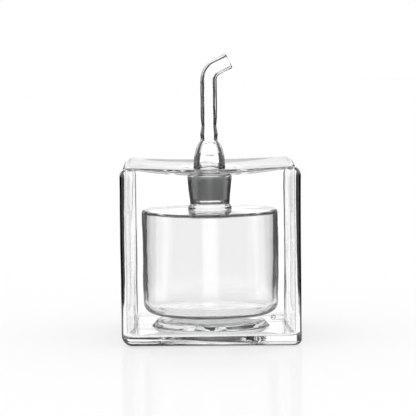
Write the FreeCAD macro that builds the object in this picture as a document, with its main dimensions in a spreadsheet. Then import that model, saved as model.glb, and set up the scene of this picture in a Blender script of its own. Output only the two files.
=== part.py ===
"""Double-walled glass oil cruet with a hollow ground-glass pouring stopper.

Two pieces of borosilicate glass:

- cruet_body: a square blown shell and the round oil vessel that hangs inside
  it. They are fused at the neck, so they are one solid round a sealed air
  jacket, and the vessel is open at the neck alone.
- pouring_stopper: a hollow ground cone, a bulb and a bent spout in one tube.

Lengths are in millimetres. +Z is up, and the origin is on the table under the
middle of the shell. The spout points along +X.
"""

import FreeCAD
import Part

import math
import os

import Sketcher

SIZES = {
    # the square outer shell
    "shell_width": 100.0,
    "shell_height": 99.4,  # of its corners, where the dished top is highest
    "shell_wall": 2.2,
    "shell_corner_radius": 6.5,  # of the upright edges
    "shell_edge_radius": 4.5,  # round the top and the bottom
    "inner_corner_radius": 7.5,  # blown glass gathers in its corners
    "inner_edge_radius": 2.4,
    "top_thickness": 1.2,  # at its corners
    "dish_depth": 3.0,  # the top sinks this far from its corners to the neck
    "inner_dish_depth": 5.2,  # its underside sinks more, so it thickens inwards
    "base_thickness": 5.2,
    # the round push-up under the base, and the seal where it was closed
    "pushup_radius": 31.0,
    "pushup_height": 5.0,
    "kick_rise": 3.6,  # the push-up's steep rim
    "kick_run": 3.0,
    "kick_round": 1.8,
    "seal_radius": 8.0,
    "seal_depth": 1.3,
    # the oil vessel that hangs in the shell
    "side_gap": 9.1,  # the air beside it
    "bottom_gap": 2.6,  # the air under it, over the push-up
    "vessel_wall": 2.0,
    "vessel_floor": 2.8,
    "vessel_ceiling": 1.5,
    "vessel_bottom_round": 6.0,
    "vessel_shoulder_round": 1.8,
    "shoulder_inside_round": 0.9,
    # the ground joint between the neck and the stopper
    "joint_radius": 9.75,  # at its top
    "joint_length": 12.0,
    "joint_taper": 0.1,  # change of diameter per length
    "joint_clearance": 0.05,
    # the neck, from the dished top down to the vessel
    "throat_round": 7.4,  # from the dished top in to the joint
    "flare_round": 2.0,  # the same under the top
    "socket_wall": 2.85,  # at the joint's top
    "socket_foot_wall": 2.05,
    "socket_foot_drop": 1.6,  # below the joint's foot
    "neck_length": 5.0,  # below the joint's foot
    "neck_wall": 2.1,
    "neck_round": 1.0,
    "bead_wall": 2.5,  # the ridge where socket and vessel are fused
    "bead_rise": 1.8,  # above the vessel
    "undercut_depth": 0.85,  # the clear neck is this much wider
    "undercut_drop": 3.2,
    # the stopper's cone and bulb, with heights above the joint's top
    "cone_below_joint": 1.4,
    "cone_rise": 3.6,
    "cone_wall": 2.2,
    "rim_round": 0.6,
    "shoulder_rise": 1.6,  # above the cone
    "shoulder_round": 1.2,
    "bulb_radius": 9.3,
    "bulb_rise": 8.6,
    "bulb_head_radius": 5.3,
    "bulb_head_rise": 21.6,
    "bulb_outside_curve": 23.5,
    "bulb_wall": 2.6,
    "bulb_head_wall": 1.6,
    "bulb_inside_drop": 0.8,
    "bulb_inside_curve": 25.3,
    "collar_radius": 4.95,
    "collar_wall": 1.8,
    "collar_foot_rise": 23.4,
    "collar_head_rise": 27.0,
    "waist_radius": 4.1,
    "waist_wall": 1.15,
    "waist_rise": 31.4,
    "stem_foot_rise": 34.4,
    # the stem and its bent spout
    "stem_radius": 4.65,
    "stem_wall": 1.75,
    "bend_rise": 56.8,  # above the joint's top
    "bend_radius": 8.2,
    "bend_angle": 63.0,
    "spout_length": 8.2,
    "tip_round": 0.8,
}
SHEET = "Sizes"
OPEN_END = 30.0  # how far a cutting tool runs on past an open mouth
ROOT_2 = math.sqrt(2)


class Size:
    """A length, with the spreadsheet formula that it comes from."""

    def __init__(self, value, formula):
        self.value = float(value)
        self.formula = str(formula)

    def joined(self, sign, other, value):
        return Size(value, f"({self.formula} {sign} {other.formula})")

    def __add__(self, other):
        other = size(other)
        return self.joined("+", other, self.value + other.value)

    def __sub__(self, other):
        other = size(other)
        return self.joined("-", other, self.value - other.value)

    def __mul__(self, other):
        other = size(other)
        return self.joined("*", other, self.value * other.value)

    def __truediv__(self, other):
        other = size(other)
        return self.joined("/", other, self.value / other.value)


def size(thing):
    """A name from SIZES, a plain number or a Size, as a Size."""
    if isinstance(thing, Size):
        return thing
    if isinstance(thing, str):
        return Size(SIZES[thing], f"{SHEET}.{thing}")
    return Size(thing, thing)


def bind(thing, path, length):
    """Drives a property from the spreadsheet."""
    thing.setExpression(path, size(length).formula)


def make_sheet(document):
    sheet = document.addObject("Spreadsheet::Sheet", SHEET)
    for row, (name, value) in enumerate(SIZES.items(), start=1):
        sheet.set(f"A{row}", name)
        sheet.set(f"B{row}", str(value))
        sheet.setAlias(f"B{row}", name)
    document.recompute()
    return sheet


# ------------------------------------------------------------- sketches


def add_sketch(body, role, name):
    """A sketch on one of its body's own origin planes."""
    sketch = body.newObject("Sketcher::SketchObject", name)
    plane = next(f for f in body.Origin.OriginFeatures if f.Role == role)
    sketch.AttachmentSupport = [(plane, "")]
    sketch.MapMode = "FlatFace"
    return sketch


def arc_between(here, there, radius, turn):
    """An arc of that radius from here to there. turn is 1 where it turns left
    on the way and -1 where it turns right."""
    chord = there - here
    middle = (here + there) * 0.5
    rise = math.sqrt(max(radius**2 - (chord.Length / 2) ** 2, 0.0))
    left = FreeCAD.Vector(-chord.y, chord.x, 0).normalize()
    centre = middle + left * (rise * turn)
    ends = (here, there) if turn > 0 else (there, here)
    angles = [math.atan2(p.y - centre.y, p.x - centre.x) for p in ends]
    circle = Part.Circle(centre, FreeCAD.Vector(0, 0, 1), radius)
    return Part.ArcOfCircle(circle, angles[0], angles[1])


def hold(sketch, item, end, along, length):
    """Fixes how far an end of an item lies from the origin along X or Y."""
    length = size(length)
    if length.value == 0:
        axis = -2 if along == "X" else -1
        rule = Sketcher.Constraint("PointOnObject", item, end, axis)
        sketch.addConstraint(rule)
        return
    kind = f"Distance{along}"
    rule = Sketcher.Constraint(kind, -1, 1, item, end, length.value)
    index = sketch.addConstraint(rule)
    bind(sketch, f"Constraints[{index}]", length)


def draw_outline(sketch, corners):
    """A closed outline. A corner is (x, y), and the way to the next one is a
    line, or an arc where a third entry says so: "axis" for an arc whose centre
    lies on the upright axis, or (radius, turn) as arc_between takes them."""
    points = []
    for corner in corners:
        x, y = size(corner[0]), size(corner[1])
        points.append(FreeCAD.Vector(x.value, y.value, 0))
    drawn = []
    for i, corner in enumerate(corners):
        here, there = points[i], points[(i + 1) % len(points)]
        bend = corner[2] if len(corner) > 2 else None
        if bend is None:
            line = Part.LineSegment(here, there)
            drawn.append((sketch.addGeometry(line, False), 1, 2))
        elif bend == "axis":
            lift = here.x**2 - there.x**2 + here.y**2 - there.y**2
            centre_y = lift / (2 * (here.y - there.y))
            radius = math.hypot(here.x, here.y - centre_y)
            side = (there - here).cross(FreeCAD.Vector(0, centre_y, 0) - here).z
            turn = 1 if side > 0 else -1
            arc = arc_between(here, there, radius, turn)
            item = sketch.addGeometry(arc, False)
            sketch.addConstraint(Sketcher.Constraint("PointOnObject", item, 3, -2))
            drawn.append((item, 1, 2) if turn > 0 else (item, 2, 1))
        else:
            radius, turn = size(bend[0]), bend[1]
            arc = arc_between(here, there, radius.value, turn)
            item = sketch.addGeometry(arc, False)
            rule = Sketcher.Constraint("Radius", item, radius.value)
            bind(sketch, f"Constraints[{sketch.addConstraint(rule)}]", radius)
            drawn.append((item, 1, 2) if turn > 0 else (item, 2, 1))
    for i, (item, start, end) in enumerate(drawn):
        after, after_start, _ = drawn[(i + 1) % len(drawn)]
        joint = Sketcher.Constraint("Coincident", item, end, after, after_start)
        sketch.addConstraint(joint)
        hold(sketch, item, start, "X", corners[i][0])
        hold(sketch, item, start, "Y", corners[i][1])


# ------------------------------------------------------------- features


def turned(body, name, corners, kind="PartDesign::Revolution"):
    """Turns an outline on the XZ plane about Z, to add glass or to cut it."""
    sketch = add_sketch(body, "XZ_Plane", f"{name}_outline")
    draw_outline(sketch, corners)
    feature = body.newObject(kind, name)
    feature.Profile = sketch
    feature.ReferenceAxis = (sketch, ["V_Axis"])
    feature.Angle = 360.0
    body.Document.recompute()
    return feature


def cut_round(body, name, corners):
    """Cuts a turned outline away, and makes sure that something came off."""
    before = body.Shape.Volume
    feature = turned(body, name, corners, "PartDesign::Groove")
    if feature.Shape.Volume > before - 1e-3:
        raise RuntimeError(f"{name} cuts nothing")
    return feature


def round_off(body, name, radius, wanted):
    """Fillets the edges of the body's last feature for which wanted is true."""
    base = body.Tip
    edges = []
    for number, edge in enumerate(base.Shape.Edges, start=1):
        if not edge.Degenerated and wanted(edge):
            edges.append(f"Edge{number}")
    if not edges:
        raise RuntimeError(f"{name} finds no edge")
    fillet = body.newObject("PartDesign::Fillet", name)
    fillet.Base = (base, edges)
    bind(fillet, "Radius", radius)
    body.Document.recompute()
    return fillet


def round_ring(body, name, radius, ring):
    """Fillets one circular edge about Z, given as its (radius, height)."""
    ring_radius, height = size(ring[0]).value, size(ring[1]).value

    def is_ring(edge):
        if not isinstance(edge.Curve, Part.Circle):
            return False
        right_size = abs(edge.Curve.Radius - ring_radius) < 1e-3
        return right_size and abs(edge.Curve.Center.z - height) < 1e-3

    return round_off(body, name, radius, is_ring)


def add_body(document, name):
    body = document.addObject("PartDesign::Body", name)
    body.Label = name
    return body


# ------------------------------------------------------------- the shell


def square_sketch(body, name, width, height):
    """A square of that width about Z, at that height."""
    sketch = add_sketch(body, "XY_Plane", name)
    half = size(width) / 2
    turns = ((-1, -1), (1, -1), (1, 1), (-1, 1))
    corners = [FreeCAD.Vector(x, y, 0) * half.value for x, y in turns]
    for i in range(4):
        line = Part.LineSegment(corners[i], corners[(i + 1) % 4])
        sketch.addGeometry(line, False)
    for i in range(4):
        level = "Horizontal" if i % 2 == 0 else "Vertical"
        for rule in (
            Sketcher.Constraint("Coincident", i, 2, (i + 1) % 4, 1),
            Sketcher.Constraint(level, i),
        ):
            sketch.addConstraint(rule)
    opposite = Sketcher.Constraint("Symmetric", 0, 1, 1, 2, -1, 1)
    sketch.addConstraint(opposite)
    hold(sketch, 1, 2, "X", half)
    hold(sketch, 1, 2, "Y", half)
    bind(sketch, "AttachmentOffset.Base.z", height)
    return sketch


def dished_block(document, name, half, corner, edge, bottom, top, depth):
    """A square block with rounded edges and a dished top. half is half its
    width, top is the height of its corners, as if they were sharp, and depth
    is how far the dish sinks from there to its middle."""
    body = add_body(document, name)
    pad = body.newObject("PartDesign::Pad", f"{name}_pad")
    pad.Profile = square_sketch(body, f"{name}_square", half * 2, bottom)
    bind(pad, "Length", top - bottom)
    document.recompute()

    def is_upright(line):
        return abs(line.tangentAt(line.FirstParameter).z) > 0.999

    round_off(body, f"{name}_corners", corner, is_upright)
    reach = reach_of(half, size(corner))
    dish = [
        (0, top - depth, "axis"),
        (reach, top),
        (reach, top + OPEN_END),
        (0, top + OPEN_END),
    ]
    cut_round(body, f"{name}_dish", dish)
    dish_face = next(
        f for f in body.Tip.Shape.Faces if isinstance(f.Surface, Part.Sphere)
    )
    for place, edges in (
        ("top", dish_face.Edges),
        ("bottom", bottom_edges(body.Tip.Shape, bottom)),
    ):
        keys = [middle_of(line) for line in edges]
        round_off(
            body,
            f"{name}_{place}_edge",
            edge,
            lambda line: any(middle_of(line).isEqual(key, 1e-4) for key in keys),
        )
    return body


def middle_of(edge):
    return edge.valueAt((edge.FirstParameter + edge.LastParameter) / 2)


def bottom_edges(shape, bottom):
    height = bottom.value
    return [e for e in shape.Edges if abs(middle_of(e).z - height) < 1e-4]


def reach_of(half, corner):
    """How far the rounded corners of a square are from its middle."""
    return (half - corner) * ROOT_2 + corner


def pushup_outline(radius, level):
    """Half a section through the push-up, or through the bump over it."""
    return [
        (0, level),
        (radius, level),
        (radius - "kick_run", level + "kick_rise", "axis"),
        (0, level + "pushup_height"),
    ]


def joint_top():
    """The height of the ground joint's top, under the throat."""
    return size("shell_height") - "dish_depth" - "throat_round"


def joint_foot():
    return joint_top() - "joint_length"


def joint_radius_at(height):
    """The ground bore's radius at that height."""
    return size("joint_radius") + (height - joint_top()) * "joint_taper" / 2


def neck_bore():
    """The radius of the clear neck below the joint."""
    return joint_radius_at(joint_foot()) + "undercut_depth"


def vessel_top():
    return joint_foot() - "neck_length"


def vessel_bottom():
    return size("base_thickness") + "pushup_height" + "bottom_gap"


def vessel_radius():
    return size("shell_width") / 2 - "shell_wall" - "side_gap"


def make_glass_outside(document):
    """The shell as if it were solid, with the mouth, the neck's bore and the
    inside of the oil vessel cut into it."""
    half = size("shell_width") / 2
    top = size("shell_height")
    body = dished_block(
        document,
        "shell",
        half,
        "shell_corner_radius",
        "shell_edge_radius",
        size(0),
        top,
        "dish_depth",
    )

    # the push-up below, with the seal in its middle
    radius = size("pushup_radius")
    cut_round(body, "pushup", pushup_outline(radius, size(0)))
    round_ring(body, "pushup_foot", "kick_round", (radius, 0))
    inner_ring = (radius - "kick_run", "kick_rise")
    round_ring(body, "pushup_rim", "kick_round", inner_ring)
    crown = size("pushup_height")
    lens = [
        (0, crown - "seal_depth"),
        ("seal_radius", crown),
        (0, crown + "seal_depth"),
    ]
    turned(body, "closing_seal", lens)

    # all that is open to the mouth
    floor = vessel_bottom() + "vessel_floor"
    ceiling = vessel_top() - "vessel_ceiling"
    inside = vessel_radius() - "vessel_wall"
    foot = joint_foot()
    mouth = top + OPEN_END
    outline = [
        (0, floor),
        (inside, floor),
        (inside, ceiling),
        (neck_bore(), ceiling),
        (neck_bore(), foot - "undercut_drop"),
        (joint_radius_at(foot), foot),
        (joint_radius_at(mouth), mouth),
        (0, mouth),
    ]
    cut_round(body, "oil_space", outline)
    undercut = (neck_bore(), ceiling)
    bottom_round = size("vessel_bottom_round") - "vessel_wall"
    round_ring(body, "floor_inside", bottom_round, (inside, floor))
    round_ring(body, "shoulder_inside", "shoulder_inside_round", (inside, ceiling))
    round_ring(body, "neck_inside", "neck_round", undercut)
    round_highest_ring(body, "throat", "throat_round")
    return body


def round_highest_ring(body, name, radius):
    """Fillets the highest circular edge about Z, where a turned wall meets a
    dished top."""
    rings = []
    for edge in body.Tip.Shape.Edges:
        if not edge.Degenerated and isinstance(edge.Curve, Part.Circle):
            centre = edge.Curve.Center
            if edge.Closed and math.hypot(centre.x, centre.y) < 1e-4:
                rings.append(edge.Curve)
    highest = max(rings, key=lambda ring: ring.Center.z)
    ring = (highest.Radius, highest.Center.z)
    return round_ring(body, name, radius, ring)


def make_air_jacket(document):
    """The sealed air between the shell and the vessel, as a solid."""
    wall = size("shell_wall")
    base = size("base_thickness")
    half = size("shell_width") / 2 - wall
    top = size("shell_height") - "top_thickness"
    body = dished_block(
        document,
        "air_jacket",
        half,
        "inner_corner_radius",
        "inner_edge_radius",
        base,
        top,
        "inner_dish_depth",
    )

    # the bump over the push-up
    radius = size("pushup_radius") + base / 2
    cut_round(body, "bump", pushup_outline(radius, base))
    inner_ring = (radius - "kick_run", base + "kick_rise")
    round_ring(body, "bump_rim", "kick_round", inner_ring)

    # the outside of the vessel and of its neck
    low, high, wide = vessel_bottom(), vessel_top(), vessel_radius()
    neck = neck_bore() + "neck_wall"
    bead = (neck_bore() + "bead_wall", high + "bead_rise")
    socket_foot = (
        joint_radius_at(joint_foot()) + "socket_foot_wall",
        joint_foot() - "socket_foot_drop",
    )
    socket_head = size("joint_radius") + "socket_wall"
    outline = [
        (0, low),
        (wide, low),
        (wide, high),
        (neck, high),
        bead,
        socket_foot,
        (socket_head, joint_top()),
        (socket_head, top + OPEN_END),
        (0, top + OPEN_END),
    ]
    cut_round(body, "vessel", outline)
    for name, round_name, ring in (
        ("vessel_floor", "vessel_bottom_round", (wide, low)),
        ("vessel_shoulder", "vessel_shoulder_round", (wide, high)),
        ("neck_foot", "neck_round", (neck, high)),
        ("bead", "neck_round", bead),
        ("socket_foot", "neck_round", socket_foot),
    ):
        round_ring(body, f"{name}_edge", round_name, ring)
    round_highest_ring(body, "flare", "flare_round")
    return body


def make_cruet_body(document):
    """The shell and the vessel as one piece of glass round the air jacket."""
    cut = document.addObject("Part::Cut", "cruet_body")
    cut.Label = "cruet_body"
    cut.Base = make_glass_outside(document)
    cut.Tool = make_air_jacket(document)
    document.recompute()
    return cut


# ------------------------------------------------------------- the stopper


def spout_path(body, name):
    """The stem's middle line: straight up, round the bend and out."""
    sketch = add_sketch(body, "XZ_Plane", name)
    stem_foot = joint_top() + "stem_foot_rise"
    bend_start = joint_top() + "bend_rise"
    start, radius = bend_start.value, SIZES["bend_radius"]
    length = SIZES["spout_length"]
    angle = math.radians(SIZES["bend_angle"])
    foot = FreeCAD.Vector(0, stem_foot.value, 0)
    centre = FreeCAD.Vector(radius, start, 0)
    inward = FreeCAD.Vector(-math.cos(angle), math.sin(angle), 0)
    onward = FreeCAD.Vector(math.sin(angle), math.cos(angle), 0)
    leave = centre + inward * radius
    stem_line = Part.LineSegment(foot, FreeCAD.Vector(0, start, 0))
    circle = Part.Circle(centre, FreeCAD.Vector(0, 0, 1), radius)
    bend_arc = Part.ArcOfCircle(circle, math.pi - angle, math.pi)
    spout_line = Part.LineSegment(leave, leave + onward * length)
    stem = sketch.addGeometry(stem_line, False)
    bend = sketch.addGeometry(bend_arc, False)
    spout = sketch.addGeometry(spout_line, False)
    for rule in (
        Sketcher.Constraint("PointOnObject", stem, 1, -2),
        Sketcher.Constraint("Vertical", stem),
        Sketcher.Constraint("Tangent", stem, 2, bend, 2),
        Sketcher.Constraint("Tangent", bend, 1, spout, 1),
    ):
        sketch.addConstraint(rule)
    hold(sketch, stem, 1, "Y", stem_foot)
    hold(sketch, stem, 2, "Y", bend_start)
    slope = (size(90) - "bend_angle") * Size(1, "1 deg")
    flat = math.radians(90 - SIZES["bend_angle"])
    for length_name, rule in (
        ("bend_radius", Sketcher.Constraint("Radius", bend, radius)),
        ("spout_length", Sketcher.Constraint("Distance", spout, length)),
        (slope, Sketcher.Constraint("Angle", spout, flat)),
    ):
        index = sketch.addConstraint(rule)
        bind(sketch, f"Constraints[{index}]", length_name)
    return sketch


def add_spout(body):
    """The stem and the spout, as one tube of even wall along the path."""
    path = spout_path(body, "spout_path")
    section = add_sketch(body, "XY_Plane", "spout_section")
    bind(section, "AttachmentOffset.Base.z", joint_top() + "stem_foot_rise")
    up = FreeCAD.Vector(0, 0, 1)
    for radius in (size("stem_radius"), size("stem_radius") - "stem_wall"):
        circle = Part.Circle(FreeCAD.Vector(0, 0, 0), up, radius.value)
        item = section.addGeometry(circle, False)
        section.addConstraint(Sketcher.Constraint("Coincident", item, 3, -1, 1))
        rule = Sketcher.Constraint("Radius", item, radius.value)
        bind(section, f"Constraints[{section.addConstraint(rule)}]", radius)
    pipe = body.newObject("PartDesign::AdditivePipe", "spout")
    pipe.Profile = section
    pipe.Spine = (path, ["Edge1", "Edge2", "Edge3"])
    body.Document.recompute()
    return pipe


def make_stopper(document):
    body = add_body(document, "pouring_stopper")
    top = joint_top()
    gap = size("joint_clearance")
    foot = joint_foot() - "cone_below_joint"
    head = top + "cone_rise"
    shoulder = head + "shoulder_rise"
    foot_radius = joint_radius_at(foot) - gap
    head_radius = joint_radius_at(head) - gap
    bulb_foot = top + "bulb_rise"
    bulb_head = top + "bulb_head_rise"
    bulb_inside = size("bulb_radius") - "bulb_wall"
    bulb_inside_head = size("bulb_head_radius") - "bulb_head_wall"
    collar_foot = top + "collar_foot_rise"
    collar_head = top + "collar_head_rise"
    collar_bore = size("collar_radius") - "collar_wall"
    waist = top + "waist_rise"
    stem_foot = top + "stem_foot_rise"
    outline = [
        (foot_radius, foot),
        (head_radius, head),
        ("bulb_radius", shoulder),
        ("bulb_radius", bulb_foot, ("bulb_outside_curve", 1)),
        ("bulb_head_radius", bulb_head),
        ("collar_radius", collar_foot),
        ("collar_radius", collar_head),
        ("waist_radius", waist),
        ("stem_radius", stem_foot),
        (size("stem_radius") - "stem_wall", stem_foot),
        (size("waist_radius") - "waist_wall", waist),
        (collar_bore, collar_head),
        (collar_bore, collar_foot),
        (bulb_inside_head, bulb_head - "bulb_inside_drop", ("bulb_inside_curve", -1)),
        (bulb_inside, bulb_foot),
        (bulb_inside, shoulder),
        (head_radius - "cone_wall", head),
        (foot_radius - "cone_wall", foot),
    ]
    turned(body, "cone_and_bulb", outline)
    add_spout(body)

    # the glass runs smoothly from one width to the next
    for name, round_name, ring in (
        ("foot_outside", "rim_round", (foot_radius, foot)),
        ("foot_inside", "rim_round", (foot_radius - "cone_wall", foot)),
        ("cone_head", "shoulder_round", (head_radius, head)),
        ("bulb_head", "shoulder_round", ("bulb_head_radius", bulb_head)),
        ("collar", "shoulder_round", ("collar_radius", collar_head)),
        ("waist", "shoulder_round", ("waist_radius", waist)),
        ("stem", "shoulder_round", ("stem_radius", stem_foot)),
    ):
        round_ring(body, f"{name}_edge", round_name, ring)

    # the fire-polished tip
    tilt = math.radians(SIZES["bend_angle"])
    onward = FreeCAD.Vector(math.sin(tilt), 0, math.cos(tilt))
    farthest = max(middle_of(edge).dot(onward) for edge in body.Tip.Shape.Edges)

    def is_tip(edge):
        if not isinstance(edge.Curve, Part.Circle):
            return False
        return abs(edge.Curve.Center.dot(onward) - farthest) < 1e-3

    round_off(body, "tip_edge", "tip_round", is_tip)
    return body


def main():
    document = FreeCAD.newDocument("oil_cruet")
    make_sheet(document)
    pieces = [make_cruet_body(document), make_stopper(document)]
    document.recompute()
    for thing in document.Objects:
        if "Invalid" in thing.State or "Error" in thing.State:
            raise RuntimeError(f"{thing.Name} failed: {thing.State}")
    for piece in pieces:
        shape = piece.Shape
        if shape.isNull() or not shape.isValid() or len(shape.Solids) != 1:
            raise RuntimeError(f"{piece.Label} is not one valid solid")
    os.makedirs("parts", exist_ok=True)
    for piece in pieces:
        piece.Shape.exportStep(f"parts/{piece.Label}.step")
        print(piece.Label, round(piece.Shape.Volume), piece.Shape.BoundBox)


main()
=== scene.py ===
"""The looks of the double-walled glass oil cruet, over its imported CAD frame."""

import math

import bpy
import numpy as np
from mathutils import Matrix, Vector, noise


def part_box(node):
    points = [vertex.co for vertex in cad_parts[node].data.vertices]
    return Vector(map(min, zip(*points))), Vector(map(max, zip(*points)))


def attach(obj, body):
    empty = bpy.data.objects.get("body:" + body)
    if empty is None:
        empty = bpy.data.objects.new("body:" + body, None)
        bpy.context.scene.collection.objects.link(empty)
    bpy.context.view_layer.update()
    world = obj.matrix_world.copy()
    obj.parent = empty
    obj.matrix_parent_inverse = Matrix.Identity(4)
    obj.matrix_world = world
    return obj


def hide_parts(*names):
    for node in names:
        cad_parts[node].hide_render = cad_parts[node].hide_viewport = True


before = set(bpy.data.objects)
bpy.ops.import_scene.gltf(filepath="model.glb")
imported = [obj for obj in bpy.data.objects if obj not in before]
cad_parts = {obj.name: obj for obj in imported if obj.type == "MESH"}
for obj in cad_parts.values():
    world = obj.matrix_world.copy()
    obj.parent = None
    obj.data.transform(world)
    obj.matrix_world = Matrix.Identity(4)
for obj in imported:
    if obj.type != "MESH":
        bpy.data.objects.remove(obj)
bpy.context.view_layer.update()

MM = 0.001

# ------------------------------------------------------------ sizes, in mm
# The CAD part's own sizes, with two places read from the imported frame.
# Widths are half widths or radii.

BODY_HIGH = max(c[2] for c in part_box("cruet_body")) / MM
CONE_FOOT = min(c[2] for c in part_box("pouring_stopper")) / MM

# the shell: its outside, then the wall of the air jacket
HALF = 50.0
CORNER = 6.5
EDGE = 4.5
EDGE_UNEVEN = 2.2
TOP = BODY_HIGH + 0.4
DISH = 3.0
THROAT_EDGE = 17.3
WALL = 2.2
INNER_CORNER = 7.5
INNER_EDGE = 2.4
INNER_DISH = 5.2
INNER_THROAT_EDGE = 15.2
TOP_THICK = 1.2

# the base and the push-up in its middle, which rises steeply at its rim
BASE_THICK = 5.2
PUSHUP = 31.0
PUSHUP_RISE = 5.0
KICK_RISE = 3.6
KICK_RUN = 3.0
KICK_ROUND = 1.8
SEAL_DROP = 1.3
UNDER_FLAT = 2.4
OVER_FLAT = 2.0

# the ground joint
JOINT_TOP = 88.9
JOINT_TOP_WIDE = 9.75
JOINT_FOOT = 77.9
JOINT_FOOT_WIDE = 9.2
SOCKET_WIDE = 12.6

# the vessel, outside and inside
VESSEL_WIDE = 38.7
VESSEL_TOP = 72.0
VESSEL_BOTTOM = 12.8
BORE_WIDE = 36.7
BORE_TOP = 70.5
BORE_BOTTOM = 15.6

# the stopper: heights are lengths along its middle line
CONE_HEAD = 92.4
CONE_HEAD_WIDE = 9.86
CONE_FOOT_WIDE = 9.14
GROUND_FROM = CONE_FOOT + 2.1
BEND_START = 145.8
BEND_RADIUS = 8.2
BEND_TURN = math.radians(63.0)
OUTLET = 8.2
TIP = BEND_START + BEND_RADIUS * BEND_TURN + OUTLET

# the seed bubble: its middle and its radii
SEED_AT = (34.0, -48.9, 16.0)
SEED_WIDE = (1.4, 0.8, 1.4)

# how blown glass wanders: the length of a wave, and how deep it is
LONG_WAVES = (34.0, 0.22)
SHORT_WAVES = (11.0, 0.05)
STEM_WAVES = (6.0, 0.10)

# profiles end this near to the axis, and a point closes them
AXIS = 0.02

# ------------------------------------------------------------ meshes

BASE_RINGS = 8
ROUND_RINGS = 9
WALL_RINGS = 43
TOP_RINGS = 14
LEAST_CORNER = 0.05


def ring_angles(per_octant=26):
    """Ring angles that crowd together at the corners of the square."""
    step = np.linspace(0, 1, per_octant, endpoint=False)
    octant = 45.0 * (0.35 * step + 0.65 * np.sin(step * math.pi / 2))
    quarter = np.concatenate([octant, [45.0], 90.0 - octant[:0:-1]])
    return np.radians(np.concatenate([quarter + 90.0 * k for k in range(4)]))


RING = ring_angles()


def steps(count):
    """Even steps up to 1, without the 0."""
    return np.linspace(0, 1, count + 1)[1:]


def smooth(t):
    return t * t * (3 - 2 * t)


def square_reach(half, corner):
    """How far a rounded square reaches at each of the ring angles."""
    turn = np.mod(RING, math.pi / 2)
    fold = np.minimum(turn, math.pi / 2 - turn)
    inner = half - corner
    along = inner * (np.cos(fold) + np.sin(fold))
    inside = np.maximum(along**2 - 2 * inner**2 + corner**2, 0)
    on_corner = half * np.tan(fold) > inner
    return np.where(on_corner, along + np.sqrt(inside), half / np.cos(fold))


def fillet(before, corner, after, radius, count=8):
    """The points that round the corner of a profile."""
    b, c, a = (np.array(p, float) for p in (before, corner, after))
    u = (b - c) / np.linalg.norm(b - c)
    w = (a - c) / np.linalg.norm(a - c)
    half = math.acos(np.clip(u.dot(w), -1, 1)) / 2
    middle = c + (u + w) / np.linalg.norm(u + w) * radius / math.sin(half)
    first = c + u * radius / math.tan(half) - middle
    last = c + w * radius / math.tan(half) - middle
    cross = first[0] * last[1] - first[1] * last[0]
    points = []
    for turn in np.linspace(0, math.atan2(cross, first.dot(last)), count):
        ct, st = math.cos(turn), math.sin(turn)
        x = first[0] * ct - first[1] * st
        z = first[0] * st + first[1] * ct
        points.append(middle + (x, z))
    return points


def profile(corners, step=2.0):
    """Points through (x, z) corners, rounded where they give a radius, with
    the long runs divided."""
    points = []
    for i, corner in enumerate(corners):
        if len(corner) > 2:
            before, after = corners[i - 1][:2], corners[i + 1][:2]
            points += fillet(before, corner[:2], after, corner[2])
        else:
            points.append(np.array(corner, float))
    filled = [points[0]]
    for here in points[1:]:
        there = filled[-1]
        pieces = max(1, math.ceil(np.linalg.norm(here - there) / step))
        run = here - there
        filled += [there + run * k / pieces for k in range(1, pieces + 1)]
    return filled


def ring_of(reach, z):
    """A ring of points round the Z axis."""
    return np.stack([reach * np.cos(RING), reach * np.sin(RING), reach * 0 + z], 1)


def round_ring(x, z):
    return ring_of(np.full_like(RING, x), z)


def mixed_ring(share, x, corner, z):
    """A ring between a circle and, with share 1, a rounded square. z is a
    height, or a function that gives the height from the reach."""
    reach = (1 - share) * x + share * square_reach(x, np.minimum(corner, x))
    return ring_of(reach, z(reach) if callable(z) else z)


def shell_rings(half, corner, edge, bottom, top, depth, hole, throat, uneven=0.0):
    """Rings from the base's round middle, up the sides and over the dished
    top to the throat's edge. uneven makes the lower edge rounder on -X than
    on +X, as the mould left it."""
    full_reach = (half - corner) * math.sqrt(2) + corner

    def dish(reach):
        return top - depth + depth * (reach / full_reach) ** 2

    rings = []
    low = edge - uneven * np.cos(RING)
    for t in steps(BASE_RINGS):
        x = hole + (half - low - hole) * t
        inset = np.minimum(low, corner - LEAST_CORNER) * t
        rings.append(mixed_ring(smooth(t), x, corner - inset, bottom))
    for turn in steps(ROUND_RINGS) * math.pi / 2:
        inset = low * (1 - math.sin(turn))
        z = bottom + low * (1 - math.cos(turn))
        inner = np.maximum(corner - inset, LEAST_CORNER)
        rings.append(mixed_ring(1, half - inset, inner, z))
    rim = dish(square_reach(half - edge, corner - edge))
    for t in steps(WALL_RINGS):
        z = bottom + low + (rim - edge - bottom - low) * t
        rings.append(mixed_ring(1, half, corner, z))
    for turn in steps(ROUND_RINGS) * math.pi / 2:
        inset = edge * (1 - math.cos(turn))
        z = rim - edge * (1 - math.sin(turn))
        rings.append(mixed_ring(1, half - inset, corner - inset, z))
    flat = half - edge
    rounder = 9.0
    for t in steps(TOP_RINGS):
        x = flat + (throat - flat) * t
        wide = corner - edge + rounder * t
        rings.append(mixed_ring(1 - smooth(t), x, wide, dish))
    return rings


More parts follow.
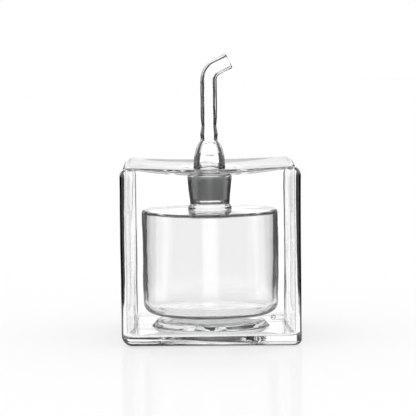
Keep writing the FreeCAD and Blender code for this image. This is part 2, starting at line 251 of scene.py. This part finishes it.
class Skin:
    """A closed surface of rings, with a ground-glass mark on some of them."""

    def __init__(self):
        self.rings = []
        self.ground = []

    def add(self, rings, ground=False):
        for ring in rings:
            self.rings.append(ring)
            self.ground.append(ground)

    def turn(self, corners, step=2.0, ground=False):
        """Adds a profile turned round the Z axis."""
        self.add((round_ring(x, z) for x, z in profile(corners, step)), ground)

    def close(self, flip=False, poles=True):
        """Its vertices, faces and ground marks. With poles the ends close to
        points, and without them the last ring joins the first."""
        count = len(RING)
        vertices = np.concatenate(self.rings)
        faces, marks = [], []
        for i in range(len(self.rings) - (1 if poles else 0)):
            after = (i + 1) % len(self.rings)
            here, there = i * count, after * count
            mark = self.ground[i] and self.ground[after]
            for j in range(count):
                k = (j + 1) % count
                faces.append((here + j, here + k, there + k, there + j))
                marks.append(mark)
        if poles:
            for ring, at in ((0, 0), (-1, len(vertices) - count)):
                pole = len(vertices)
                vertices = np.vstack([vertices, self.rings[ring].mean(axis=0)])
                for j in range(count):
                    k = (j + 1) % count
                    first, second = (k, j) if at == 0 else (j, k)
                    faces.append((at + first, at + second, pole))
                    marks.append(False)
        if flip:
            faces = [face[::-1] for face in faces]
        return vertices, faces, marks


def normals_of(vertices, faces):
    mesh = bpy.data.meshes.new("normals")
    mesh.from_pydata(vertices.tolist(), [], faces)
    out = np.empty(len(vertices) * 3)
    mesh.vertex_normals.foreach_get("vector", out)
    bpy.data.meshes.remove(mesh)
    return out.reshape(-1, 3)


def wander(points, normals, waves, seed, keep):
    """Moves points along their normals by smooth noise, as blown glass
    wanders. keep is 0 where the glass stays true."""
    length, depth = waves
    shift = Vector((17.3, 5.1, 9.7)) * seed
    swing = [noise.noise(Vector(p) / length + shift) for p in points]
    return points + normals * (np.array(swing) * depth * keep)[:, None]


def join(parts):
    """Several closed surfaces as one set of vertices, faces and marks."""
    vertices, faces, marks = [], [], []
    for points, quads, ground in parts:
        offset = sum(len(v) for v in vertices)
        vertices.append(points)
        faces += [tuple(i + offset for i in quad) for quad in quads]
        marks += ground
    return np.concatenate(vertices), faces, marks


def scene_object(name, mesh):
    thing = bpy.data.objects.new(name, mesh)
    bpy.context.scene.collection.objects.link(thing)
    return thing


def glass_object(name, vertices, faces, marks, materials):
    """A piece of glass. Its marked faces take the second material."""
    mesh = bpy.data.meshes.new(name)
    mesh.from_pydata((vertices * MM).tolist(), [], faces)
    for material in materials:
        mesh.materials.append(material)
    mesh.polygons.foreach_set("material_index", [int(m) for m in marks])
    mesh.polygons.foreach_set("use_smooth", [True] * len(faces))
    mesh.validate()
    mesh.update()
    return scene_object(name, mesh)


# ------------------------------------------------------------ the glass


def seed_bubble():
    """A small flat bubble of air caught in the front wall."""
    turns = np.linspace(0, math.pi, 14)[1:-1]
    bubble = Skin()
    bubble.add(round_ring(math.sin(turn), -math.cos(turn)) for turn in turns)
    points, faces, marks = bubble.close(flip=True)
    return points * np.array(SEED_WIDE) + np.array(SEED_AT), faces, marks


def outside_skin():
    """What the air outside touches: under the base, round the shell, down
    the throat and round the inside of the vessel."""
    skin = Skin()
    kick = [
        (AXIS, PUSHUP_RISE - SEAL_DROP),
        (7.0, PUSHUP_RISE - 0.15, 6.0),
        (PUSHUP - KICK_RUN, KICK_RISE, KICK_ROUND),
        (PUSHUP, 0, KICK_ROUND),
        (PUSHUP + UNDER_FLAT, 0),
    ]
    skin.turn(kick, 1.6)
    hole = PUSHUP + UNDER_FLAT
    sides = HALF, CORNER, EDGE, 0.0, TOP, DISH
    skin.add(shell_rings(*sides, hole, THROAT_EDGE, EDGE_UNEVEN))

    plate = skin.rings[-1][0, 2]
    wall = [(19.0, plate), (10.1, plate, 7.4), (JOINT_TOP_WIDE, JOINT_TOP + 0.1)]
    throat = [(x, z) for x, z in profile(wall, 1.0) if x < THROAT_EDGE - 0.3]
    skin.add(round_ring(x, z) for x, z in throat)
    bore = [(JOINT_TOP_WIDE, JOINT_TOP), (JOINT_FOOT_WIDE, JOINT_FOOT)]
    skin.turn(bore, 1.0, ground=True)
    inside = [
        (JOINT_FOOT_WIDE, JOINT_FOOT - 0.05),
        (9.15, 77.0),
        (10.0, 73.8, 2.0),
        (10.0, BORE_TOP, 1.0),
        (BORE_WIDE, BORE_TOP, 0.9),
        (BORE_WIDE, BORE_BOTTOM, 4.0),
        (AXIS, BORE_BOTTOM),
    ]
    skin.turn(inside)
    return skin


def jacket_skin():
    """What the sealed air touches: over the base, up the shell's inside,
    down the socket and round the outside of the vessel."""
    skin = Skin()
    bump = PUSHUP + BASE_THICK / 2
    over = [
        (AXIS, BASE_THICK + PUSHUP_RISE),
        (bump - 9.0, BASE_THICK + 4.1, 12.0),
        (bump - KICK_RUN, BASE_THICK + KICK_RISE, KICK_ROUND),
        (bump, BASE_THICK, 0.9),
        (bump + OVER_FLAT, BASE_THICK),
    ]
    skin.turn(over, 1.6)
    sides = HALF - WALL, INNER_CORNER, INNER_EDGE, BASE_THICK, TOP - TOP_THICK
    hole = bump + OVER_FLAT
    skin.add(shell_rings(*sides, INNER_DISH, hole, INNER_THROAT_EDGE))

    plate = skin.rings[-1][0, 2]
    vessel = [
        (17.0, plate),
        (SOCKET_WIDE, plate, 2.0),
        (SOCKET_WIDE, 89.0),
        (11.2, 75.4, 1.0),
        (12.5, 73.8, 1.0),
        (12.1, VESSEL_TOP, 1.0),
        (VESSEL_WIDE, VESSEL_TOP, 1.8),
        (VESSEL_WIDE, VESSEL_BOTTOM, 6.0),
        (AXIS, VESSEL_BOTTOM),
    ]
    within = INNER_THROAT_EDGE - 0.2
    kept = [(x, z) for x, z in profile(vessel) if z < plate - 0.01 or x < within]
    skin.add(round_ring(x, z) for x, z in kept)
    return skin


def make_body(materials):
    """The shell and the vessel: the outside and the jacket's inside as one
    piece of glass. The joint and the foot stay true, and the rest wanders."""
    true_reach, fade, shoulder, foot = 11.0, 8.0, 68, 1.5
    parts = []
    skins = (outside_skin(), False), (jacket_skin(), True)
    for seed, (skin, flip) in enumerate(skins, 1):
        points, faces, marks = skin.close(flip)
        normals = normals_of(points, faces)
        reach = np.hypot(points[:, 0], points[:, 1])
        high = points[:, 2]
        away = np.clip((reach - true_reach) / fade, 0, 1) + (high < shoulder)
        keep = np.clip(away, 0, 1) * np.clip(high / foot, 0, 1)
        points = wander(points, normals, LONG_WAVES, seed, keep)
        points = wander(points, normals, SHORT_WAVES, seed + 4, keep)
        parts.append((points, faces, marks))
    parts.append(seed_bubble())
    return glass_object("cruet_glass", *join(parts), materials)


def along_spout(length):
    """A point of the stopper's middle line, and how far it leans there."""
    if length <= BEND_START:
        return np.array([0.0, 0.0, length]), 0.0
    turn = min((length - BEND_START) / BEND_RADIUS, BEND_TURN)
    x = BEND_RADIUS * (1 - math.cos(turn))
    z = BEND_START + BEND_RADIUS * math.sin(turn)
    rest = max(length - BEND_START - BEND_RADIUS * BEND_TURN, 0)
    return np.array([x + rest * math.sin(turn), 0, z + rest * math.cos(turn)]), turn


def spout_ring(radius, length):
    middle, lean = along_spout(length)
    out = np.array([math.cos(lean), 0, -math.sin(lean)])
    side = np.array([0.0, 1.0, 0.0])
    circle = np.cos(RING)[:, None] * out + np.sin(RING)[:, None] * side
    return middle + radius * circle


def make_stopper(materials):
    """The hollow cone, the bulb and the bent spout, in one tube: up the
    outside to the tip, and back down the inside to the cone's foot."""
    ground = [(CONE_FOOT_WIDE, GROUND_FROM), (CONE_HEAD_WIDE, CONE_HEAD)]
    clear = [
        (CONE_HEAD_WIDE, CONE_HEAD),
        (9.8, 93.3, 0.5),
        (9.1, 94.4, 1.6),
        (9.0, 98.4, 6.0),
        (8.55, 102.6, 9.0),
        (7.2, 108.0, 6.0),
        (4.9, 111.2, 2.0),
        (4.8, 112.8, 2.0),
        (5.1, 115.0, 4.0),
        (4.15, 120.0, 4.0),
        (4.65, 124.5, 5.0),
        (4.65, TIP - 2.0),
        (4.75, TIP - 0.75, 0.4),
        (4.2, TIP, 0.6),
        (3.2, TIP, 0.6),
        (2.9, TIP - 0.9, 0.4),
        (2.9, 124.0, 6.0),
        (2.95, 120.0, 6.0),
        (3.2, 115.0, 4.0),
        (3.1, 111.6, 2.0),
        (4.6, 108.4, 4.0),
        (5.9, 104.0, 9.0),
        (6.65, 98.5, 8.0),
        (6.7, 94.6, 1.6),
        (7.6, CONE_HEAD, 1.2),
        (6.85, CONE_FOOT + 0.7),
        (7.25, CONE_FOOT + 0.05, 0.4),
        (8.65, CONE_FOOT + 0.05, 0.4),
        (9.06, CONE_FOOT + 0.7),
        (CONE_FOOT_WIDE, GROUND_FROM - 0.02),
    ]
    skin = Skin()
    skin.add((spout_ring(x, s) for x, s in profile(ground, 1.0)), ground=True)
    skin.add(spout_ring(x, s) for x, s in profile(clear, 0.9)[1:-1])
    points, faces, marks = skin.close(poles=False)
    true_to, fade = 95.0, 5.0
    keep = np.clip((points[:, 2] - true_to) / fade, 0, 1)
    points = wander(points, normals_of(points, faces), STEM_WAVES, 9, keep)
    return glass_object("stopper_glass", points, faces, marks, materials)


# ------------------------------------------------------------ nodes


def math_node(nodes, links, operation, *values):
    """One maths node on numbers or sockets, and its result."""
    node = nodes.new("ShaderNodeMath")
    node.operation = operation
    for socket, value in zip(node.inputs, values):
        if isinstance(value, (int, float)):
            socket.default_value = value
        else:
            links.new(value, socket)
    return node.outputs[0]


class Maths:
    """Short names for the maths nodes of one material or world."""

    def __init__(self, nodes, links):
        self.nodes, self.links = nodes, links

    def node(self, operation, *values):
        return math_node(self.nodes, self.links, operation, *values)

    def plus(self, a, b):
        return self.node("ADD", a, b)

    def less(self, a, b):
        return self.node("SUBTRACT", a, b)

    def size(self, value):
        return self.node("ABSOLUTE", value)

    def least(self, a, b):
        return self.node("MINIMUM", a, b)

    def times(self, *values):
        product = values[0]
        for value in values[1:]:
            product = self.node("MULTIPLY", product, value)
        return product

    def rest(self, value):
        """1 where the value is 0, and 0 where it is 1."""
        return self.less(1.0, value)

    def most(self, *values):
        largest = values[0]
        for value in values[1:]:
            largest = self.node("MAXIMUM", largest, value)
        return largest

    def above(self, value, limit):
        return self.node("GREATER_THAN", value, limit)

    def below(self, value, limit):
        return self.rest(self.above(value, limit))

    def ramp(self, value, ends):
        """0 at the first end, 1 at the second, and smooth between."""
        start, end = ends
        place = self.node("DIVIDE", self.less(value, start), end - start)
        place = self.least(self.most(place, 0.0), 1.0)
        slope = self.less(3.0, self.times(place, 2.0))
        return self.times(place, place, slope)

    def reach(self, x, y):
        """How far a place is from the Z axis."""
        return self.node("SQRT", self.plus(self.times(x, x), self.times(y, y)))

    def split(self, vector):
        parts = self.nodes.new("ShaderNodeSeparateXYZ")
        self.links.new(vector, parts.inputs[0])
        return parts.outputs


def new_material(name):
    material = bpy.data.materials.new(name)
    material.use_nodes = True
    nodes = material.node_tree.nodes
    return material, nodes, material.node_tree.links


def set_inputs(shader, **values):
    """Sets a shader's own sockets. An underscore stands for a space."""
    for name, value in values.items():
        shader.inputs[name.replace("_", " ")].default_value = value


def grey(level):
    return level, level, level, 1.0


# ------------------------------------------------------------ materials

INDEX = 1.47
ABSORBED = (0.80, 0.83, 0.815, 1.0)
ABSORBING = 8.0
CLEAR_RELIEF = ((60.0, 2.0, 0.00012), (260.0, 1.0, 0.00001))
GROUND_RELIEF = ((900.0, 3.0, 0.00003), (4200.0, 2.0, 0.00001))
GROUND_TONE = (0.62, 0.63, 0.63, 1.0)

# The edge shade is painted shade: a dark base colour on glass seen nearly
# edge on, which stands in for the dark lines of shade along its edges. Pairs
# are the ends of a ramp: of facing, which is 0 face on and 1 edge on, or of
# tilt, which is the height of the normal. Places are in metres.
EDGE_SHADE = 0.003
SHADE_FACING = (0.42, 0.50)
VESSEL_TONE = 0.965
MID_REACH = 0.040
VESSEL_HIGH = 0.0722
VESSEL_OUTER = 0.030
LEAN_TILT = (0.3, 0.9)
UPRIGHT_SHADE = 0.30
BOTTOM_SHADE = 0.13
CORNER_REACH = (0.040, 0.0425)
FOOT_HIGH = 0.005
FLAT_FACING = (0.90, 0.94)
CEILING_HIGH = 0.060
UP_TILT = (0.15, 0.45)
DOWN_TILT = (-0.15, -0.45)
SHOULDER_HIGH = 0.0700
SHOULDER_REACH = 0.0366
LIP_TILT = (0.15, 0.4)
LIP_FACING = (0.4, 0.6)
LIP_SHADE = 0.8
TOP_HIGH = 0.0900
TOP_REACH = 0.0172
TOP_TILT = (0.93, 0.97)
CORNER_RISE = 0.03 / 0.0016
RAISED_FROM = (0.80, 0.83)
RAISED_TO = (0.90, 0.92)
LEVEL_FACING = (0.84, 0.90)
TOP_SHADE = 0.75


def surface_relief(nodes, links, layers, target):
    """Fine relief from several noise layers: (scale, detail, depth in m)."""
    place = nodes.new("ShaderNodeTexCoord")
    previous = None
    for scale, detail, depth in layers:
        texture = nodes.new("ShaderNodeTexNoise")
        set_inputs(texture, Scale=scale, Detail=detail)
        links.new(place.outputs["Object"], texture.inputs["Vector"])
        bump = nodes.new("ShaderNodeBump")
        set_inputs(bump, Distance=depth, Strength=1.0)
        links.new(texture.outputs["Fac"], bump.inputs["Height"])
        if previous:
            links.new(previous.outputs["Normal"], bump.inputs["Normal"])
        previous = bump
    links.new(previous.outputs["Normal"], target)


def paint_edge_shade(nodes, links, shader):
    """Painted shade: darkens the base colour of glass that is seen nearly edge
    on, into dark lines, but not the flat walls and plates."""
    maths = Maths(nodes, links)
    weight = nodes.new("ShaderNodeLayerWeight")
    weight.inputs["Blend"].default_value = 0.5
    facing = weight.outputs["Facing"]
    surface = nodes.new("ShaderNodeNewGeometry")
    tilt = maths.split(surface.outputs["Normal"])[2]
    place = nodes.new("ShaderNodeTexCoord")
    x, y, z = maths.split(place.outputs["Object"])
    reach = maths.reach(x, y)

    # the vessel's outer part: less painted shade up its side, more under its bottom
    inner = maths.below(reach, MID_REACH)
    vessel = maths.times(inner, maths.below(z, VESSEL_HIGH))
    outer = maths.times(vessel, maths.above(reach, VESSEL_OUTER))
    lean = maths.ramp(maths.size(tilt), LEAN_TILT)
    upright = maths.times(outer, maths.rest(lean), UPRIGHT_SHADE)
    facing = maths.less(facing, upright)
    facing = maths.plus(facing, maths.times(outer, lean, BOTTOM_SHADE))

    # the rounded glass takes the painted shade: the inner part, the corners and the
    # foot
    corner = maths.ramp(maths.least(maths.size(x), maths.size(y)), CORNER_REACH)
    rounded = maths.most(inner, corner, maths.below(z, FOOT_HIGH))
    flat = maths.times(maths.ramp(facing, FLAT_FACING), maths.rest(inner))
    band = maths.times(maths.ramp(facing, SHADE_FACING), maths.rest(flat))
    ceiling = maths.above(z, CEILING_HIGH)
    ceiling = maths.times(ceiling, maths.ramp(tilt, DOWN_TILT))
    plates = maths.most(maths.ramp(tilt, UP_TILT), ceiling)
    painted_shade = maths.times(band, maths.rest(plates), rounded)

    # painted shade on the round lip of the vessel's shoulder
    high = maths.above(z, SHOULDER_HIGH)
    shoulder = maths.times(high, maths.above(reach, SHOULDER_REACH), vessel)
    lip = maths.rest(maths.ramp(facing, LIP_FACING))
    lip = maths.times(maths.ramp(tilt, LIP_TILT), lip)
    painted_shade = maths.most(painted_shade, maths.times(shoulder, lip, LIP_SHADE))

    # painted shade on the dished top: a line along its rim that rises toward the
    # corners
    high = maths.times(maths.above(z, TOP_HIGH), maths.above(reach, TOP_REACH))
    diagonal = maths.least(maths.times(x, x), maths.times(y, y))
    rising = maths.plus(facing, maths.times(diagonal, CORNER_RISE))
    raised = maths.rest(maths.ramp(rising, RAISED_TO))
    raised = maths.times(maths.ramp(rising, RAISED_FROM), raised)
    level = maths.times(maths.ramp(facing, LEVEL_FACING), TOP_SHADE)
    dish = maths.times(high, maths.ramp(tilt, TOP_TILT), maths.most(raised, level))
    painted_shade = maths.most(painted_shade, dish)

    # the base colour: a little darker on the inner glass under the shoulder, then
    # near black where the painted shade goes
    tones = []
    for share, low in ((vessel, VESSEL_TONE), (painted_shade, EDGE_SHADE)):
        tone = nodes.new("ShaderNodeMix")
        tone.data_type = "RGBA"
        tone.inputs[6].default_value = grey(1.0)
        tone.inputs[7].default_value = grey(low)
        links.new(share, tone.inputs[0])
        tones.append(tone)
    links.new(tones[0].outputs[2], tones[1].inputs[6])
    links.new(tones[1].outputs[2], shader.inputs["Base Color"])


def glass_material(name, transmission, roughness, relief):
    """Glass with fine relief and a faint tone of its own in its depth."""
    material, nodes, links = new_material(name)
    shader = nodes["Principled BSDF"]
    set_inputs(
        shader, Transmission_Weight=transmission, Roughness=roughness, IOR=INDEX
    )
    surface_relief(nodes, links, relief, shader.inputs["Normal"])
    volume = nodes.new("ShaderNodeVolumeAbsorption")
    set_inputs(volume, Color=ABSORBED, Density=ABSORBING)
    output = nodes["Material Output"]
    links.new(volume.outputs["Volume"], output.inputs["Volume"])
    return material, nodes, links, shader


def clear_glass():
    material, nodes, links, shader = glass_material(
        "borosilicate_glass", 1.0, 0.0, CLEAR_RELIEF
    )
    # painted shade in the base colour where the glass is seen edge on
    paint_edge_shade(nodes, links, shader)
    return material


def ground_glass():
    material, _, _, shader = glass_material("ground_glass", 0.6, 0.55, GROUND_RELIEF)
    set_inputs(shader, Base_Color=GROUND_TONE)
    return material


# ------------------------------------------------------------ the object

glass = [clear_glass(), ground_glass()]
for piece, node, slot in (
    (make_body(glass), "cruet_body", "clear_glass"),
    (make_stopper(glass), "pouring_stopper", "stopper_glass"),
):
    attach(piece, "root")
    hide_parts(node)

# ------------------------------------------------------------ floor, light
# The studio has four bright walls with dark quarters between them, and a
# dark ceiling, for light that has come through the glass.

SIDE_WAVE = (-0.75, -0.45)
AWAY_REACH = (0.1, 0.25)
HIGH_RISE = (0.3, 0.75)
UNDER_RISE = (0.0, 0.02)
REFLECTED_DARK = 0.97
FEW_DARK = 0.7
MANY_DARK = 0.95
THROUGH = 1.2
STUDIO = 1.10
BACKDROP_LESS = 0.10
FLOOR_HALF = 6.0
FLOOR_AT = -0.0002
FLOOR_TONE = 0.93
FLOOR_MATT = 0.9
FLOOR_ROUGH = 0.12
FLOOR_GLOSS = 0.2
FLOOR_GLOW = 0.6
FLOOR_SHOWN = 0.7
BOUNCES = 48
GLOSSY_BOUNCES = 24


def to_the_side(maths, x, y):
    """1 in the dark quarters of the studio, between its four bright walls."""
    wave = maths.node("COSINE", maths.times(maths.node("ARCTAN2", y, x), 4.0))
    return maths.ramp(maths.times(wave, -1.0), SIDE_WAVE)


def ray_kinds(maths, path):
    """Whether light left the glass to reach this, after a reflection, or
    through no more than two of its surfaces, or was only mirrored by it."""
    seen = maths.below(path.outputs["Diffuse Depth"], 0.5)
    through = maths.times(seen, maths.above(path.outputs["Transmission Depth"], 0.5))
    bounced = maths.times(through, maths.above(path.outputs["Glossy Depth"], 0.5))
    few = maths.below(path.outputs["Transmission Depth"], 2.5)
    few = maths.times(through, few)
    mirrored = maths.times(seen, maths.above(path.outputs["Glossy Depth"], 0.5))
    return through, bounced, few, maths.times(mirrored, maths.rest(through))


def make_floor():
    """A pale floor, matt with a little gloss. It keeps the shadow, and light
    that comes through the glass sees it evenly lit near the object and dark
    to the sides."""
    mesh = bpy.data.meshes.new("floor")
    side, z = FLOOR_HALF, FLOOR_AT
    corners = [(-side, -side, z), (side, -side, z), (side, side, z), (-side, side, z)]
    mesh.from_pydata(corners, [], [(0, 1, 2, 3)])
    floor = scene_object("floor", mesh)
    material, nodes, links = new_material("pale_floor")
    maths = Maths(nodes, links)
    shader = nodes["Principled BSDF"]
    set_inputs(
        shader,
        Base_Color=grey(FLOOR_TONE),
        Roughness=FLOOR_MATT,
        Specular_IOR_Level=0.0,
    )
    gloss = nodes.new("ShaderNodeBsdfGlossy")
    set_inputs(gloss, Roughness=FLOOR_ROUGH)
    surface = nodes.new("ShaderNodeMixShader")
    surface.inputs[0].default_value = FLOOR_GLOSS
    links.new(shader.outputs[0], surface.inputs[1])
    links.new(gloss.outputs[0], surface.inputs[2])

    path = nodes.new("ShaderNodeLightPath")
    place = nodes.new("ShaderNodeNewGeometry")
    x, y, _ = maths.split(place.outputs["Position"])
    through, bounced, few, mirrored = ray_kinds(maths, path)
    away = maths.ramp(maths.reach(x, y), AWAY_REACH)
    aside = maths.most(
        maths.times(bounced, REFLECTED_DARK), maths.times(few, FEW_DARK)
    )
    aside = maths.times(aside, to_the_side(maths, x, y))
    dark = maths.times(maths.most(aside, mirrored), away)
    glow = nodes.new("ShaderNodeEmission")
    camera = path.outputs["Is Camera Ray"]
    lit = maths.times(through, THROUGH)
    level = maths.plus(maths.times(lit, maths.rest(dark)), camera)
    links.new(level, glow.inputs["Strength"])
    shown = maths.times(through, FLOOR_SHOWN)
    part = maths.plus(maths.times(camera, FLOOR_GLOW), shown)
    mix = nodes.new("ShaderNodeMixShader")
    links.new(maths.most(part, dark), mix.inputs[0])
    links.new(surface.outputs[0], mix.inputs[1])
    links.new(glow.outputs[0], mix.inputs[2])
    links.new(mix.outputs[0], nodes["Material Output"].inputs["Surface"])
    mesh.materials.append(material)


def make_world():
    """Soft light from all round, and a white backdrop."""
    world = bpy.data.worlds.new("studio")
    bpy.context.scene.world = world
    world.use_nodes = True
    nodes, links = world.node_tree.nodes, world.node_tree.links
    nodes.clear()
    maths = Maths(nodes, links)
    out = nodes.new("ShaderNodeOutputWorld")
    back = nodes.new("ShaderNodeBackground")
    back.inputs["Color"].default_value = grey(1.0)
    links.new(back.outputs["Background"], out.inputs["Surface"])
    path = nodes.new("ShaderNodeLightPath")
    look = nodes.new("ShaderNodeTexCoord")
    x, y, rise = maths.split(look.outputs["Generated"])
    through, bounced, few, _ = ray_kinds(maths, path)
    high = maths.ramp(rise, HIGH_RISE)
    under = maths.rest(maths.ramp(rise, UNDER_RISE))
    many = maths.times(maths.rest(few), MANY_DARK)
    straight = maths.times(maths.most(few, under), REFLECTED_DARK)
    caught = maths.times(bounced, maths.most(straight, many))
    aside = maths.most(caught, maths.times(few, FEW_DARK))
    aside = maths.times(to_the_side(maths, x, y), aside)
    dark = maths.most(maths.times(high, through), aside)
    level = maths.plus(STUDIO, maths.times(through, THROUGH - STUDIO))
    level = maths.times(level, maths.rest(dark))
    camera = path.outputs["Is Camera Ray"]
    level = maths.less(level, maths.times(camera, BACKDROP_LESS))
    links.new(level, back.inputs["Strength"])


def make_camera():
    """The photograph's view, from a fit to the shell's own edges."""
    data = bpy.data.cameras.new("camera")
    camera = scene_object("camera", data)
    data.lens, data.sensor_width = 181.6, 36.0
    data.clip_end = 50.0
    turn, pitch, roll = math.radians(0.36), math.radians(4.89), math.radians(-0.61)
    distance, shift, height = 1.197, -0.00103, 0.175
    right = Vector((math.cos(turn), -math.sin(turn), 0))
    level = Vector((math.sin(turn), math.cos(turn), 0))
    ahead = level * math.cos(pitch) - Vector((0, 0, math.sin(pitch)))
    up = right.cross(ahead)
    tilted = right * math.cos(roll) + up * math.sin(roll)
    upright = up * math.cos(roll) - right * math.sin(roll)
    place = right * shift - level * distance
    place.z = height
    columns = tilted, upright, -ahead, place
    rows = [[column[i] for column in columns] for i in range(3)]
    camera.matrix_world = Matrix(rows + [(0, 0, 0, 1)])
    bpy.context.scene.camera = camera


make_floor()
make_world()
make_camera()
cycles = bpy.context.scene.cycles
cycles.max_bounces = BOUNCES
cycles.transmission_bounces = BOUNCES
cycles.glossy_bounces = GLOSSY_BOUNCES
bpy.context.scene.view_settings.view_transform = "Standard"
